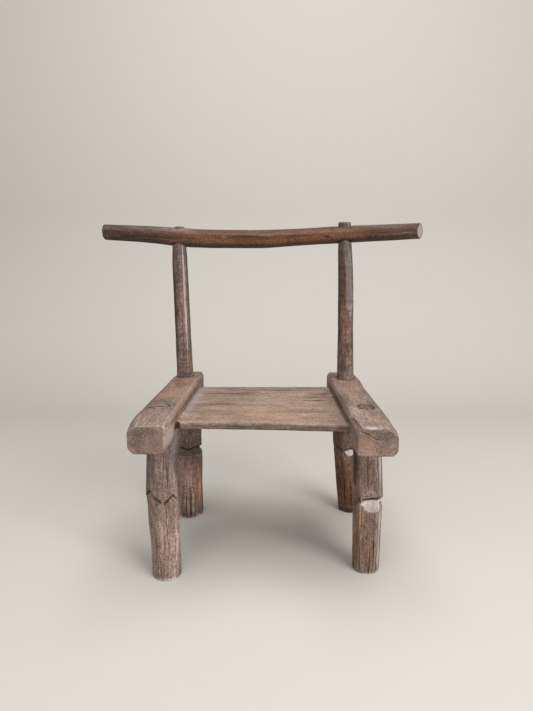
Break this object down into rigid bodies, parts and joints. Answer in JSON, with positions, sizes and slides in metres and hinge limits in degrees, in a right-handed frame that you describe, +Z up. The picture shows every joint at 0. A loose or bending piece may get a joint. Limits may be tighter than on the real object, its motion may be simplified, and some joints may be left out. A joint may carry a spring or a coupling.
{
  "type": "low birthing chair",
  "caption": "Low hand-hewn wooden birthing chair with a flat plank seat let into side beams, stout carved legs and slender back posts under a curved crest rail.",
  "frame": {"origin": "on the floor, at the middle of the chair's outer box in plan", "axes": "+Z up, front of the chair towards -Y, +X towards the right end of the crest rail as seen from the front"},
  "size_m": [0.585, 0.367, 0.5635],
  "materials": {
    "rail_wood": "hewn with an adze, weathered grey-brown, arrises worn pale by hands",
    "seat_wood": "scraped flat, dull with a faint polish from sitting",
    "leg_wood": "peeled and whittled, dry and checked along the grain",
    "post_wood": "peeled and whittled, checked below, rubbed smooth above",
    "crest_wood": "peeled branch, polished by the back in the middle, dull at the tips",
    "wedge_wood": "split, unfinished"
  },
  "bodies": {
    "root": {"left_side_rail": "rail_wood", "right_side_rail": "rail_wood", "seat_board": "seat_wood", "front_left_leg": "leg_wood", "front_right_leg": "leg_wood", "left_back_post": "post_wood", "right_back_post": "post_wood", "crest_rail": "crest_wood", "front_left_wedge": "wedge_wood", "front_right_wedge": "wedge_wood"}
  },
  "joints": []
}
